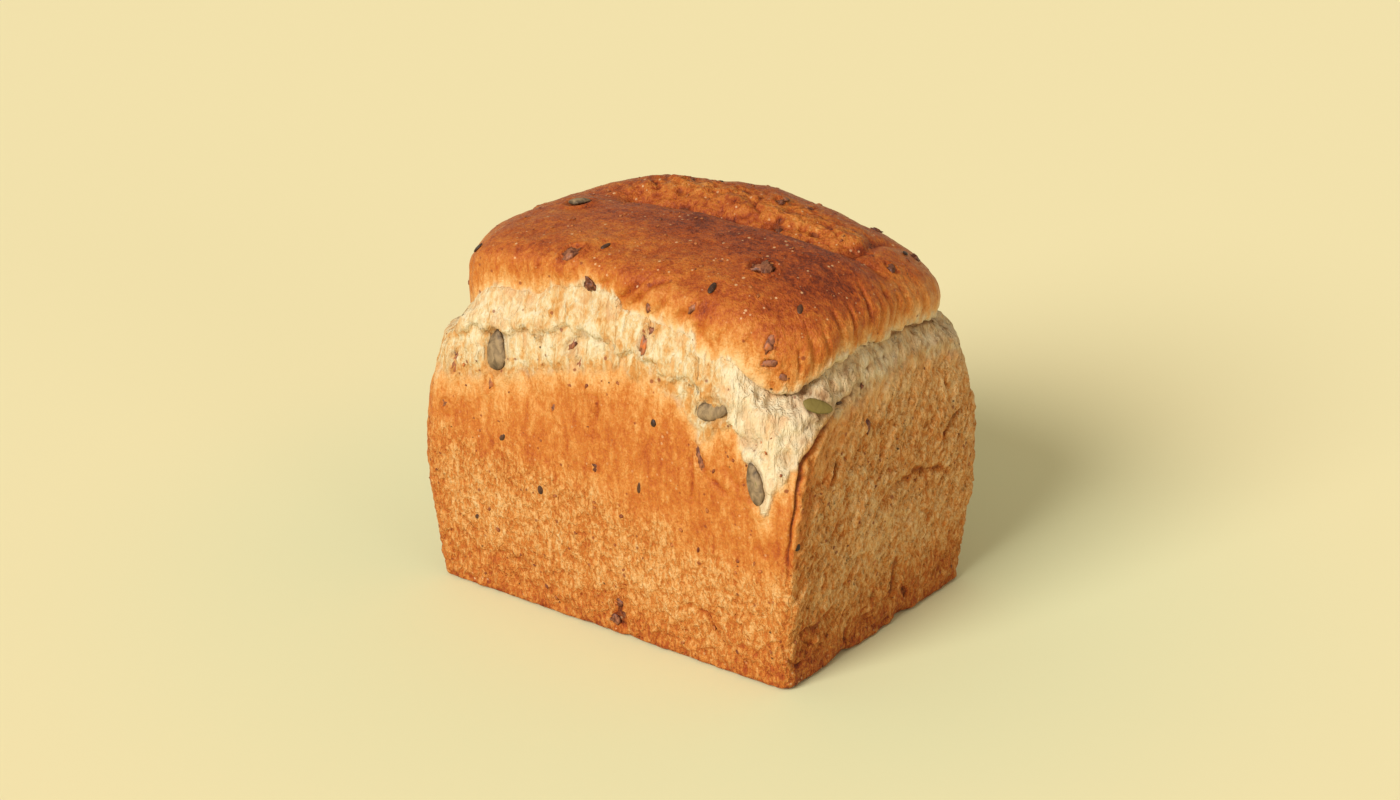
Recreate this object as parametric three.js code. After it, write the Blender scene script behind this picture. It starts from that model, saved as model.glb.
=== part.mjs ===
// A half-size seeded tin loaf, baked in an open tin: one solid of bread, in millimetres, +Z up.
// Its long side runs along X and it rests on its flat underside, centred on the origin.
//
// From the table up, the loaf is a tapered block shaped by the tin, a pale tear band that leans inwards
// where the rising dough left the tin, and a crown of two rolls side by side with a valley between them.
// The crown overhangs the tear band all the way round. The tear opens widest at the +X -Y corner.
import * as THREE from "three";

// Driving dimensions.
const BASE_LENGTH = 145; // underside, along X
const BASE_WIDTH = 105; // underside, along Y
const TIN_FLARE = 5; // how far each wall leans out between the underside and the rim
const TIN_CORNER_RADIUS = 6; // upright edges of the block
const FOOT_RADIUS = 3; // round between the underside and the walls
const LOAF_HEIGHT = 134;
const CROWN_INSET = 6; // from the rim's outline to the widest line of the crown
const CROWN_CORNER_RADIUS = 27;
const LIP_DEPTH = 7; // from the crown's widest line down to its lower edge
const LIP_TUCK = 2.5; // how far that lower edge lies further in than the widest line
const LIP_ANGLE = Math.PI / 6; // of the arch that lies below the widest line
const VALLEY_DEPTH = 7; // below the crests of the two rolls
const VALLEY_HALF_WIDTH = 9;
const CREST_OFFSET = -15; // the highest point lies this far from the middle along X
const END_DROP = 14; // how much lower the crown's top line is above its two ends

// Values that change round the loaf, at the middle of each face and at each corner, in the order
// -X end, -X -Y corner, front, +X -Y corner, +X end, +X +Y corner, back, -X +Y corner.
const RIM_HEIGHTS = [74, 72, 90, 58, 86, 80, 88, 74]; // top of the browned wall
const LIP_HEIGHTS = [97, 97, 118, 97, 105, 96, 110, 96]; // lower edge of the crown

// How the crown arches over on each side: 1 is an ellipse, less is fuller at the shoulder and more is flatter.
const CROWN_ARCH = [0.55, 0.55, 0.7, 0.75, 0.9, 1.1, 0.95, 0.7];

// Fineness of the facets.
const COLUMNS = 72; // round the loaf
const UNDERSIDE_ROWS = 3;
const WALL_ROWS = 14; // from the underside's edge to the crown's lower edge
const CROWN_ROWS = 14;

const halfLength = BASE_LENGTH / 2 + TIN_FLARE;
const halfWidth = BASE_WIDTH / 2 + TIN_FLARE;

// Shares of a quarter turn taken by half an end, the rounded corner and half a long side, from the crown's outline.
const cornerRun = (Math.PI / 2) * CROWN_CORNER_RADIUS;
const quarterRun = halfWidth + halfLength + cornerRun - 2 * CROWN_CORNER_RADIUS;
const endShare = (halfWidth - CROWN_CORNER_RADIUS) / quarterRun;
const cornerShare = cornerRun / quarterRun;
const sideShare = 1 - endShare - cornerShare;

// A point of a rounded rectangle. turn runs from 0 to 1, counter-clockwise from the middle of the -X end.
function outlinePoint(turn, length, width, radius) {
  const quarter = Math.floor(turn * 4) % 4;
  const within = turn * 4 - Math.floor(turn * 4);
  const share = quarter % 2 === 0 ? within : 1 - within;
  const point = new THREE.Vector2();
  if (share < endShare) {
    point.set(length, (share / endShare) * (width - radius));
  } else if (share < endShare + cornerShare) {
    const angle = ((share - endShare) / cornerShare) * (Math.PI / 2);
    point.set(length - radius + radius * Math.cos(angle), width - radius + radius * Math.sin(angle));
  } else {
    point.set(((1 - share) / sideShare) * (length - radius), width);
  }
  if (quarter === 0 || quarter === 3) point.x = -point.x;
  if (quarter < 2) point.y = -point.y;
  return point;
}

// The turn at the middle of each face and at each corner, in the order of the tables above.
const cornerTurn = (endShare + cornerShare / 2) / 4;
const stationTurns = [0, cornerTurn, 0.25, 0.5 - cornerTurn, 0.5, 0.5 + cornerTurn, 0.75, 1 - cornerTurn, 1];

// A value that changes round the loaf through the eight given ones. Each face is an arch, a quarter of a sine
// wave from its middle out to either corner, and neighbouring arches meet at the corners.
function valueAround(turn, values) {
  const place = stationTurns.findIndex((at, i) => turn >= at && turn <= stationTurns[i + 1]);
  const share = THREE.MathUtils.mapLinear(turn, stationTurns[place], stationTurns[place + 1], 0, 1);
  const fromCorner = place % 2 === 1;
  const blend = fromCorner ? Math.sin((share * Math.PI) / 2) : 1 - Math.cos((share * Math.PI) / 2);
  return THREE.MathUtils.lerp(values[place], values[(place + 1) % values.length], blend);
}

// The profile of one side, from the underside's edge up to the crown's lower edge.
// x is the inset from the rim's outline and y the height.
function sideProfile(turn) {
  const rim = valueAround(turn, RIM_HEIGHTS);
  const lip = valueAround(turn, LIP_HEIGHTS);
  const tucked = CROWN_INSET + LIP_TUCK;
  return new THREE.SplineCurve([
    new THREE.Vector2(TIN_FLARE + FOOT_RADIUS, 0),
    new THREE.Vector2(TIN_FLARE + FOOT_RADIUS * 0.25, FOOT_RADIUS * 0.35),
    new THREE.Vector2(TIN_FLARE * 0.85, FOOT_RADIUS * 1.4),
    new THREE.Vector2(TIN_FLARE * 0.38, rim * 0.45),
    new THREE.Vector2(0, rim * 0.85),
    new THREE.Vector2(CROWN_INSET * 0.3, rim + 3),
    new THREE.Vector2(THREE.MathUtils.lerp(0, tucked, 0.75), (rim + lip) / 2 + 2),
    new THREE.Vector2(tucked, lip),
  ]);
}

// Height of the crown's top surface: an arch along X, less the valley between the two rolls.
function crownHeight(x, y) {
  const along = (x - CREST_OFFSET) / halfLength;
  const arch = LOAF_HEIGHT - END_DROP * along * along;
  const fade = THREE.MathUtils.smoothstep(halfLength * 0.9 - Math.abs(x), 0, halfLength * 0.35);
  return arch - VALLEY_DEPTH * fade * Math.exp(-((y / VALLEY_HALF_WIDTH) ** 2));
}

// A point of the loaf's skin. row runs from 0 at the middle of the underside to the crown's middle.
function skinPoint(turn, row) {
  if (row <= UNDERSIDE_ROWS) {
    const edge = TIN_FLARE + FOOT_RADIUS;
    const scale = row / UNDERSIDE_ROWS;
    const at = outlinePoint(turn, halfLength - edge, halfWidth - edge, TIN_CORNER_RADIUS);
    return new THREE.Vector3(at.x * scale, at.y * scale, 0);
  }
  if (row <= UNDERSIDE_ROWS + WALL_ROWS) {
    const share = (row - UNDERSIDE_ROWS) / WALL_ROWS;
    const { x: inset, y: height } = sideProfile(turn).getPoint(share);
    const rim = valueAround(turn, RIM_HEIGHTS);
    const opening = THREE.MathUtils.smoothstep(height, rim * 0.7, valueAround(turn, LIP_HEIGHTS));
    const radius = THREE.MathUtils.lerp(TIN_CORNER_RADIUS, CROWN_CORNER_RADIUS, opening);
    const at = outlinePoint(turn, halfLength - inset, halfWidth - inset, radius);
    return new THREE.Vector3(at.x, at.y, height);
  }
  // The crown: a full, cushion-like arch that starts tucked in below its widest line.
  const share = (row - UNDERSIDE_ROWS - WALL_ROWS) / CROWN_ROWS;
  const angle = THREE.MathUtils.lerp(-LIP_ANGLE, Math.PI / 2, share);
  const widest = valueAround(turn, LIP_HEIGHTS) + LIP_DEPTH;
  if (angle < 0) {
    const inset = CROWN_INSET + (LIP_TUCK * (1 - Math.cos(angle))) / (1 - Math.cos(LIP_ANGLE));
    const at = outlinePoint(turn, halfLength - inset, halfWidth - inset, CROWN_CORNER_RADIUS);
    return new THREE.Vector3(at.x, at.y, widest + (LIP_DEPTH * Math.sin(angle)) / Math.sin(LIP_ANGLE));
  }
  const at = outlinePoint(turn, halfLength - CROWN_INSET, halfWidth - CROWN_INSET, CROWN_CORNER_RADIUS);
  const arch = valueAround(turn, CROWN_ARCH);
  at.multiplyScalar(Math.max(Math.cos(angle), 0) ** arch);
  const rise = Math.sin(angle) ** arch;
  return new THREE.Vector3(at.x, at.y, THREE.MathUtils.lerp(widest, crownHeight(at.x, at.y), rise));
}

// A sphere's grid of facets, carried onto the loaf's skin: its poles become the middles of underside and crown.
function loafGeometry() {
  const rows = UNDERSIDE_ROWS + WALL_ROWS + CROWN_ROWS;
  const geometry = new THREE.SphereGeometry(1, COLUMNS, rows);
  const position = geometry.getAttribute("position");
  const uv = geometry.getAttribute("uv");
  for (let i = 0; i < position.count; i++) {
    const row = Math.round(uv.getY(i) * rows);
    const atPole = row === 0 || row === rows;
    const turn = atPole ? 0 : Math.round(uv.getX(i) * COLUMNS) / COLUMNS;
    const point = skinPoint(turn % 1, row);
    position.setXYZ(i, point.x, point.y, point.z);
  }
  geometry.computeVertexNormals();
  return geometry;
}

const crust = new THREE.MeshStandardMaterial({ color: 0xc47a35, roughness: 0.65, metalness: 0 });

const loaf = new THREE.Mesh(loafGeometry(), crust);
loaf.name = "loaf";

const tinLoaf = new THREE.Group();
tinLoaf.add(loaf);

export default tinLoaf;
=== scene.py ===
"""A seeded tin loaf: its block and crown, the seeds and grains baked into them, a pale floor and soft light.

Shapes are worked out in millimetres, as whole numpy arrays, and become metres where a mesh is made.
"""
import math
from types import SimpleNamespace

import bmesh
import bpy
import numpy as np
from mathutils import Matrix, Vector


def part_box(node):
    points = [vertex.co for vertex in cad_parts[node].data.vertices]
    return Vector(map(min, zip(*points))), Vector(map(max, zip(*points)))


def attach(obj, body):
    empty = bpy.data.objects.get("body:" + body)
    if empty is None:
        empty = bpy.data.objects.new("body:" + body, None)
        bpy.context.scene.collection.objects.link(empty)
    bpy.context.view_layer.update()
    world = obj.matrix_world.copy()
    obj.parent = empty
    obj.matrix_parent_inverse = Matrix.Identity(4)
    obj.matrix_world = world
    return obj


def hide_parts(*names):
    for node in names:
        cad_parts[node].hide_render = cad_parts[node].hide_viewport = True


MM = 0.001

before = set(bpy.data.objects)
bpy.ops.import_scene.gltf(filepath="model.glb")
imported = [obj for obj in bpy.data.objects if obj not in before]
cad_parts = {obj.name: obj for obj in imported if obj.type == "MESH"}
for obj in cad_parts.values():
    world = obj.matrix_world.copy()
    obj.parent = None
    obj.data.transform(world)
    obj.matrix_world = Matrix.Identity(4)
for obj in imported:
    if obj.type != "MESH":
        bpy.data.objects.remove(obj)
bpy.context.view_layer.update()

low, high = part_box("loaf")
HALF_LENGTH = (high.x - low.x) / 2 / MM
HALF_WIDTH = (high.y - low.y) / 2 / MM
LOAF_HEIGHT = round(high.z / MM, 1)

# The way round the loaf: s is 0 at the middle of the front, grows towards +X, and is signed.
RIGHT_EDGE = HALF_LENGTH
BACK_EDGE = HALF_LENGTH + 2 * HALF_WIDTH
HALF_ROUND = 2 * HALF_LENGTH + 2 * HALF_WIDTH
COLUMNS = 720

# Rows of the two skins: the block's from the middle of its underside, the crown's from its lower edge to the
# valley. Each skin also has two rows inside the loaf, which close it out of sight.
UNDERSIDE_ROWS = 9
WALL_ROWS = 122
LIP_ROWS = 13
CROWN_ROWS = 84
CLOSING_ROWS = 2

# The block, shaped by the tin.
TIN_FLARE = 4.3
FLARE_HEIGHT = 58
LEAN_HEIGHT = 60  # above this the walls lean in, towards the crown
TIN_CORNER = 4.0
WALL_SLACK = 0.8  # the lumps stand out from a wall that lies this far within the rim
FOOT_RADIUS = 1.6

# The crown, risen above it.
CROWN_CORNER = 27.0
RIDGE_HALF_LENGTH = 38.0
RIDGE_INSET = 5.0
VALLEY_Y = 3.0
VALLEY_DEPTH = 5.2
VALLEY_WIDTH = 7.0
CLOSING_HEIGHT = 98  # both skins close on a line at this height inside the loaf

# The listed grooves are cut deeper than they read, because the rough crumb hides part of them.
WALL_CUT = 1.35
FLANK_CUT = 1.7
TORN_SEED = 60  # the torn strands run on from the block to the crown's lip
LOWEST_SEED = 0.2  # no seed reaches nearer to the floor


# ---------------------------------------------------------------- helpers on arrays


def hashed(cell, seed):
    """Three numbers from -1 to 1 for each whole-number place in space, mixed from its coordinates.

    The large odd numbers only scatter the bits, and seed picks one of many patterns.
    """
    mixed = cell[..., 0] * 374761393 + cell[..., 1] * 668265263 + cell[..., 2] * 1274126177 + seed * 974634777
    mixed = mixed & 0xFFFFFFFF
    mixed = ((mixed ^ (mixed >> 13)) * 1274126177) & 0xFFFFFFFF
    mixed = mixed ^ (mixed >> 16)
    return np.stack([(mixed >> shift) & 1023 for shift in (0, 10, 20)], axis=-1) / 511.5 - 1


def noise(points, size, seed):
    """Smooth noise from about -1 to 1, with lumps of the given size in mm, which may differ along x, y and z.

    Every corner of a lattice has a random slope, and the eight slopes round a point are blended with
    the fade 6t^5 - 15t^4 + 10t^3.
    """
    scaled = points / np.asarray(size, float)
    cell = np.floor(scaled).astype(np.int64)
    local = scaled - cell
    fade = local**3 * (local * (local * 6 - 15) + 10)
    total = np.zeros(points.shape[:-1])
    for corner in np.ndindex(2, 2, 2):
        slope = hashed(cell + np.array(corner), seed)
        weight = np.prod(np.where(np.array(corner) == 1, fade, 1 - fade), axis=-1)
        total += weight * np.sum(slope * (local - np.array(corner)), axis=-1)
    return total * 1.5


def rough_noise(points, size, seed, octaves=3):
    """Noise with finer and fainter noise on top, each octave half the size and half the strength."""
    size = np.asarray(size, float)
    return sum(noise(points, size / 2**k, seed + k) / 2**k for k in range(octaves))


def cell_distance(points, size, seed):
    """Distance from each point to the nearest of one random dot per lattice cell, in cell sizes."""
    scaled = points / np.asarray(size, float)
    cell = np.floor(scaled).astype(np.int64)
    nearest = np.full(points.shape[:-1], 9.0)
    for step in np.ndindex(3, 3, 3):
        there = cell + np.array(step) - 1
        dot = there + 0.5 + 0.5 * hashed(there, seed)
        nearest = np.minimum(nearest, np.linalg.norm(scaled - dot, axis=-1))
    return nearest


def smooth(value, start, end):
    """0 before start, 1 after end, and 3t^2 - 2t^3 between them. start may be the larger."""
    t = np.clip((value - start) / (end - start), 0, 1)
    return t * t * (3 - 2 * t)


def mix(a, b, share):
    """a where share is 0, b where it is 1."""
    return a + (b - a) * share


def bell(value, width):
    """1 where value is 0, falling off on both sides as e to the minus (value / width) squared."""
    return np.exp(-((value / width) ** 2))


def thin_lines(points, size, seed, peak, steepness):
    """Thin wandering lines where noise crosses 0: peak in their middle, and 0 a little beside them."""
    return np.clip(peak - steepness * np.abs(noise(points, size, seed)), 0, None)


def broad_lumps(points):
    """The loaf's own unevenness, which the block and the crown share."""
    return 0.7 * noise(points, 38.0, 1) + 0.45 * noise(points, 17.0, 2)


def wandering(points):
    """A small shift in mm along and up the surface, which bends the course of a groove."""
    return 1.3 * np.stack([noise(points, 7.0, 31), noise(points, 7.0, 32)], axis=-1)


def rough_along(s, size, seed):
    """Rough noise along s alone."""
    return rough_noise(np.stack([s, 0 * s, 0 * s], axis=-1), size, seed)


def around(s, places, soften=0.0):
    """A value at each s: straight between (s, value) places, closed behind, and blurred over soften mm."""
    at = np.array([p[0] for p in places], float)
    values = np.array([p[1] for p in places], float)
    result = np.interp(s, at, values, period=2 * HALF_ROUND)
    if soften:
        waves = np.fft.rfftfreq(len(s), d=2 * HALF_ROUND / len(s))
        blur = np.exp(-2 * (math.pi * waves * soften) ** 2)
        result = np.fft.irfft(np.fft.rfft(result) * blur, len(s))
    return result


def distance_to_path(places, path):
    """How far places (..., 2) are from a path's nearest straight stretch, and how far along it that is."""
    nearest = np.full(places.shape[:-1], 1e9)
    along = np.zeros(places.shape[:-1])
    stretches = list(zip(path[:-1], path[1:]))
    for index, (start, end) in enumerate(stretches):
        start, run = np.array(start, float), np.subtract(end, start).astype(float)
        share = np.clip(((places - start) @ run) / (run @ run), 0, 1)
        gap = np.linalg.norm(places - start - share[..., None] * run, axis=-1)
        closer = gap < nearest
        nearest = np.where(closer, gap, nearest)
        along = np.where(closer, (index + share) / len(stretches), along)
    return nearest, along


def groove(places, path, width, depth):
    """A rounded groove along the path, at full depth in its middle and fading out over its ends."""
    gap, along = distance_to_path(places, path)
    fade = np.sqrt(np.clip(np.sin(math.pi * np.clip(along, 0.02, 0.98)), 0, 1))
    return -depth * fade * bell(gap, width)


# ---------------------------------------------------------------- the loaf's base shape


def sharp_outline(s):
    """The rim's rectangle with sharp corners, at s along it."""
    corners = [0, RIGHT_EDGE, BACK_EDGE, HALF_ROUND]
    x = np.interp(np.abs(s), corners, [0, HALF_LENGTH, HALF_LENGTH, 0]) * np.sign(s)
    y = np.interp(np.abs(s), corners, [-HALF_WIDTH, -HALF_WIDTH, HALF_WIDTH, HALF_WIDTH])
    return x, y


def outline(s, inset, corner):
    """The rounded rectangle that lies inset within the rim, with that corner radius, at s.

    The sharp rectangle's point moves straight towards the nearest point of the core that is corner mm
    smaller on every side, until it is corner mm from it.
    """
    x, y = sharp_outline(s)
    x = x * (HALF_LENGTH - inset) / HALF_LENGTH
    y = y * (HALF_WIDTH - inset) / HALF_WIDTH
    core_x = np.clip(x, corner - (HALF_LENGTH - inset), HALF_LENGTH - inset - corner)
    core_y = np.clip(y, corner - (HALF_WIDTH - inset), HALF_WIDTH - inset - corner)
    away = np.hypot(x - core_x, y - core_y)
    return core_x + (x - core_x) / away * corner, core_y + (y - core_y) / away * corner


def rim_height(s):
    """Where the browned wall ends and the pale tear starts. It dips in a V at the +X -Y corner."""
    places = [
        (-185, 80), (-135, 84), (-84, 77), (-77, 76), (-57, 79), (-39, 83), (-13, 91), (12, 96), (30, 94),
        (36, 88), (39, 80), (42, 79), (45, 82), (50, 87), (54, 89), (56, 83), (59, 76), (62.5, 69),
        (65.5, 58), (67.5, 60), (70, 71), (74, 74), (79, 76), (81, 80), (86, 84), (92, 86), (104, 88),
        (117, 90), (146, 92), (170, 89), (190, 82), (198, 80), (225, 88), (270, 90),
    ]
    return around(s, places, soften=0.9)


def lip_height(s):
    """The crown's lower edge, without its lobes."""
    places = [
        (-193, 95), (-135, 97), (-80, 95), (-66, 99), (-50, 107), (-33, 112), (-15, 116), (0, 117.5),
        (15, 116), (30, 111.5), (47, 107), (60, 103), (72, 97), (78, 95), (88, 99), (103, 104), (120, 105.5),
        (140, 104), (165, 101), (185, 96), (193, 95), (215, 104), (245, 109), (270, 110),
    ]
    return around(s, places, soften=5.0)


def lip_lobes(s):
    """How far the crown's ragged edge hangs below (-) or stops above (+) its even line."""
    places = [
        (-77, 0), (-70, -1.5), (-62, -1), (-55, 1.5), (-47, 2.0), (-36, -0.5), (-28, -1.2), (-20, 0.6),
        (-8, 1.2), (5.5, 0.8), (7, -3.6), (14, -3.0), (24, -1.0), (33, 1.6), (39, 1.2), (40.5, -3.4),
        (48, -2.4), (50, 1.8), (56, 1.0), (62, -1.8), (70, -1.2), (76, 0.4), (86, -0.6), (98, 0.8),
        (108, -0.4), (122, 0.6), (140, -1.5), (150, 0.5), (170, 0), (200, 1), (215, -1.5), (232, 1.2),
        (250, -1.4), (268, 1.0), (-250, -1.2), (-232, 1.4), (-214, -0.8), (-170, 0.8), (-150, -1.0),
        (-120, 1.0), (-100, -0.6),
    ]
    return around(s, places, soften=0.5) + 0.8 * rough_along(s, 6.0, 11)


def foot_edge(s):
    """How far the foot is worn back at each s: broad bays, and bites where crust broke off in the tin."""
    places = [
        (-70, 0.2), (-44, -0.2), (-38, 0.5), (-26, -0.2), (-10, 0.3), (5, 0.1), (10, 1.0), (14, 0),
        (40, -0.2), (44, 0.7), (48, -0.2), (77, 0.1), (97, -0.3), (107, 0.8), (113, 2.4), (117, 0.4),
        (124, -0.4), (143, -0.2), (149, 2.6), (154, 1.8), (159, 0), (180, 0.1), (210, 1), (235, 0), (262, 1),
        (-240, 0), (-215, 1), (-180, 0), (-150, 1.2), (-120, 0),
    ]
    return np.clip(around(s, places, soften=1.0) + 0.45 * rough_along(s, 11.0, 21) - 0.3, -0.8, 3)


def valley_y(x):
    """Where the valley between the two rolls runs: along X, turned a little towards +Y."""
    return VALLEY_Y + 0.06 * (x - 10)


def crown_top(x, y):
    """Height of the crown's top: two rolls, front and far, each arched along X, meeting in the valley."""
    front = np.interp(
        x,
        [-78, -66, -50, -33, -12, 8, 24, 39, 55, 66, 78],
        [-14.6, -9.6, -4.6, -2.1, -0.2, 0.2, -0.6, -1.6, -3.6, -6.6, -13.6],
    )
    far = np.interp(
        x,
        [-78, -66, -54, -44, -33, -22, -2, 8, 18, 28, 38, 48, 58, 67, 78],
        [-15.6, -9.6, -6, -3, -0.6, 0.8, 1.8, 1.4, 0.7, -0.8, -2.2, -4, -6.4, -9.1, -14.6],
    )
    rolls = LOAF_HEIGHT + mix(front, far, smooth(y, -8, 14))
    depth = VALLEY_DEPTH * smooth(x, -62, -16) * smooth(x, 72, 38)
    return rolls - depth * bell(y - valley_y(x), VALLEY_WIDTH)


def arch_angles(count):
    """Angles from 0 to a quarter turn, at even steps along a typical half arch of the crown."""
    angle = np.linspace(0, math.pi / 2, 2000)
    reach, rise = 50 * np.cos(angle) ** 0.7, 26 * np.sin(angle) ** 0.7
    run = np.concatenate([[0], np.cumsum(np.hypot(np.diff(reach), np.diff(rise)))])
    return np.interp(np.linspace(0, run[-1], count + 1), run, angle)


WAY_ROUND = -HALF_ROUND + 2 * HALF_ROUND * np.arange(COLUMNS) / COLUMNS
LIP = lip_height(WAY_ROUND) + lip_lobes(WAY_ROUND)
RIM = rim_height(WAY_ROUND)
CROWN_INSET = around(
    WAY_ROUND,
    [(-193, 7), (-135, 7.4), (-80, 6.6), (-40, 5), (40, 4.2), (78, 3.0), (110, 4.2), (150, 5.0), (193, 6.2),
     (230, 6.5), (270, 6)],
    soften=8.0,
)
OVERHANG = around(
    WAY_ROUND,
    [(-193, 0.5), (-77, 0.4), (-20, 0.9), (45, 1.4), (68, 2.6), (85, 3.4), (110, 2.8), (160, 1.6),
     (193, 0.8)],
    soften=5.0,
)
CREASE_INSET = CROWN_INSET + OVERHANG  # where the block and the crown meet, under the lip


def ridge_line(s):
    """The line along the middle of the loaf that every half arch climbs to and every skin closes on, at s."""
    edge_x, _ = outline(s, RIDGE_INSET, CROWN_CORNER)
    x = edge_x * RIDGE_HALF_LENGTH / HALF_LENGTH
    return x, valley_y(x)


def closing_line(s):
    """A row of points inside the loaf, which folds onto itself and closes a shell where nobody sees it."""
    x, _ = ridge_line(s)
    return np.stack([x, 0 * s, CLOSING_HEIGHT + 0 * s], axis=-1)


def wall_grid():
    """The block as rows of points (rows, COLUMNS, 3): underside, wall up to under the crown, closing rows.

    A wall ring is the rounded rectangle at an inset. The inset is what the tin's flare leaves, plus a quarter
    circle at the foot, plus a lean above LEAN_HEIGHT that ends in the crown's rounder outline.
    """
    s = WAY_ROUND
    rows = []
    worn = foot_edge(s)
    line_x, _ = ridge_line(s)
    edge_x, edge_y = outline(s, TIN_FLARE + FOOT_RADIUS + WALL_SLACK + worn, TIN_CORNER)
    for k in range(UNDERSIDE_ROWS):
        share = k / UNDERSIDE_ROWS
        rows.append(np.stack([mix(line_x, edge_x, share), edge_y * share, 0 * s], axis=-1))
    # Only the corner beside the tear keeps the tin's sharp edge: the others round off as they rise.
    blunt = around(s, [(-193, 7), (-135, 7), (-60, 5), (-30, 0), (120, 0), (150, 5), (193, 7)])
    for k in range(WALL_ROWS + 1):
        height = LIP * k / WALL_ROWS
        flare = WALL_SLACK + TIN_FLARE * np.clip(1 - height / FLARE_HEIGHT, 0, 1) ** 1.35
        turn = np.clip(1 - height / FOOT_RADIUS, 0, 1)
        foot = FOOT_RADIUS * (1 - np.sqrt(1 - turn**2))
        foot = foot + worn * np.clip(1 - height / (3 + 2 * np.abs(worn)), 0, 1) ** 1.5
        leaving = np.clip((height - LEAN_HEIGHT) / (LIP - LEAN_HEIGHT), 0, 1)
        shoulder = smooth(leaving, 0.80, 1.0)
        inwards = (CREASE_INSET - WALL_SLACK) * (0.55 * leaving**1.5 + 0.45 * shoulder)
        opening = mix(smooth(leaving, 0, 1.1) * 0.55, 1, shoulder)
        corner = TIN_CORNER + blunt * smooth(height, 30, 66)
        x, y = outline(s, flare + foot + inwards, mix(corner, CROWN_CORNER, opening))
        rows.append(np.stack([x, y, height], axis=-1))
    x, y = outline(s, CREASE_INSET + 3.0, CROWN_CORNER)
    rows += [np.stack([x, y, LIP + 1.0], axis=-1), closing_line(s)]
    return np.array(rows)


def crown_grid():
    """The crown as rows of points: closing rows, the lip curling out over the tear, and the arch above it.

    A half arch goes from the widest ring to the ridge line: across as cos and up as sin of an angle, both to
    the power arch, which is under 1 where the crown is boxy.
    """
    s = WAY_ROUND
    widest = around(
        s,
        [(-193, 101), (-135, 106), (-80, 107), (-50, 116), (-20, 122.5), (0, 123.5), (30, 119), (60, 111),
         (78, 104), (103, 111), (125, 113), (160, 109), (190, 103), (215, 107), (270, 115)],
        soften=8.0,
    )
    x, y = outline(s, CREASE_INSET + 2.2, CROWN_CORNER)
    rows = [closing_line(s), np.stack([x, y, LIP - 0.5], axis=-1)]
    for k in range(LIP_ROWS + 1):
        share = k / LIP_ROWS
        early = min(1, share / 0.25)
        out = 1 - (1 - early) ** 2
        curl = 0.25 * OVERHANG * math.sin(math.pi * early)
        x, y = outline(s, mix(CREASE_INSET, CROWN_INSET + 0.4 * (1 - share) ** 2, out), CROWN_CORNER)
        rows.append(np.stack([x, y, mix(LIP, widest, share) - curl], axis=-1))
    arch = around(
        s,
        [(-193, 0.8), (-135, 0.55), (-80, 0.58), (-40, 0.70), (0, 0.80), (50, 0.72), (78, 0.68), (105, 0.75),
         (150, 0.88), (193, 1.0), (230, 1.0), (270, 0.9)],
        soften=10.0,
    )
    edge_x, edge_y = outline(s, CROWN_INSET, CROWN_CORNER)
    ridge_x, ridge_y = ridge_line(s)
    for angle in arch_angles(CROWN_ROWS)[1:]:
        last = angle > math.pi / 2 - 1e-6
        reach = 0 * arch if last else math.cos(angle) ** arch
        rise = math.sin(angle) ** arch
        x = mix(ridge_x, edge_x, reach)
        y = mix(ridge_y, edge_y, reach)
        rows.append(np.stack([x, y, mix(widest, crown_top(x, y), rise)], axis=-1))
    return np.array(rows)


def outward_normals(grid):
    """Unit normals of a closed ring grid, across its column and row steps, and upright at its two folds."""
    along = np.roll(grid, -1, axis=1) - np.roll(grid, 1, axis=1)
    up = np.gradient(grid, axis=0)
    normal = np.cross(along, up)
    normal /= np.linalg.norm(normal, axis=-1, keepdims=True) + 1e-12
    normal[0] = (0, 0, -1)
    normal[-1] = (0, 0, 1)
    return normal


# ---------------------------------------------------------------- making meshes


def new_object(name, mesh):
    piece = bpy.data.objects.new(name, mesh)
    bpy.context.scene.collection.objects.link(piece)
    return piece


def smooth_mesh(name, points, faces, uv, values):
    """A smooth mesh from points in mm, with the UV map it is baked in, and values per point as attributes."""
    mesh = bpy.data.meshes.new(name)
    mesh.from_pydata(points.reshape(-1, 3) * MM, [], faces)
    mesh.uv_layers.new(name="OFBake").data.foreach_set("uv", uv.ravel())
    for key, value in values.items():
        attribute = mesh.attributes.new(key, "FLOAT", "POINT")
        attribute.data.foreach_set("value", value.ravel().astype(np.float32))
    mesh.polygons.foreach_set("use_smooth", np.ones(len(faces), bool))
    return mesh


def skin_piece(name, grid, values):
    """A closed ring grid in mm as an object. Its first and last rows fold onto a line, where doubles merge.

    The UV map runs once round the loaf, and once from the first row to the last.
    """
    row_count, column_count = grid.shape[:2]
    index = np.arange(row_count * column_count).reshape(row_count, column_count)
    after = np.roll(index, -1, axis=1)
    quads = np.stack([index[:-1], after[:-1], after[1:], index[1:]], axis=-1).reshape(-1, 4)
    bottom, left = np.meshgrid(
        np.arange(row_count - 1) / (row_count - 1), np.arange(column_count) / column_count, indexing="ij"
    )
    right, top = left + 1 / column_count, bottom + 1 / (row_count - 1)
    uv = np.stack([left, bottom, right, bottom, right, top, left, top], axis=-1)
    mesh = smooth_mesh(name, grid, quads, uv, values)
    work = bmesh.new()
    work.from_mesh(mesh)
    work.verts.ensure_lookup_table()
    folds = [work.verts[i] for i in np.concatenate([index[0], index[-1]])]
    bmesh.ops.remove_doubles(work, verts=folds, dist=0.02 * MM)
    work.to_mesh(mesh)
    work.free()
    return new_object(name, mesh)


# ---------------------------------------------------------------- what is baked into the loaf

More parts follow.
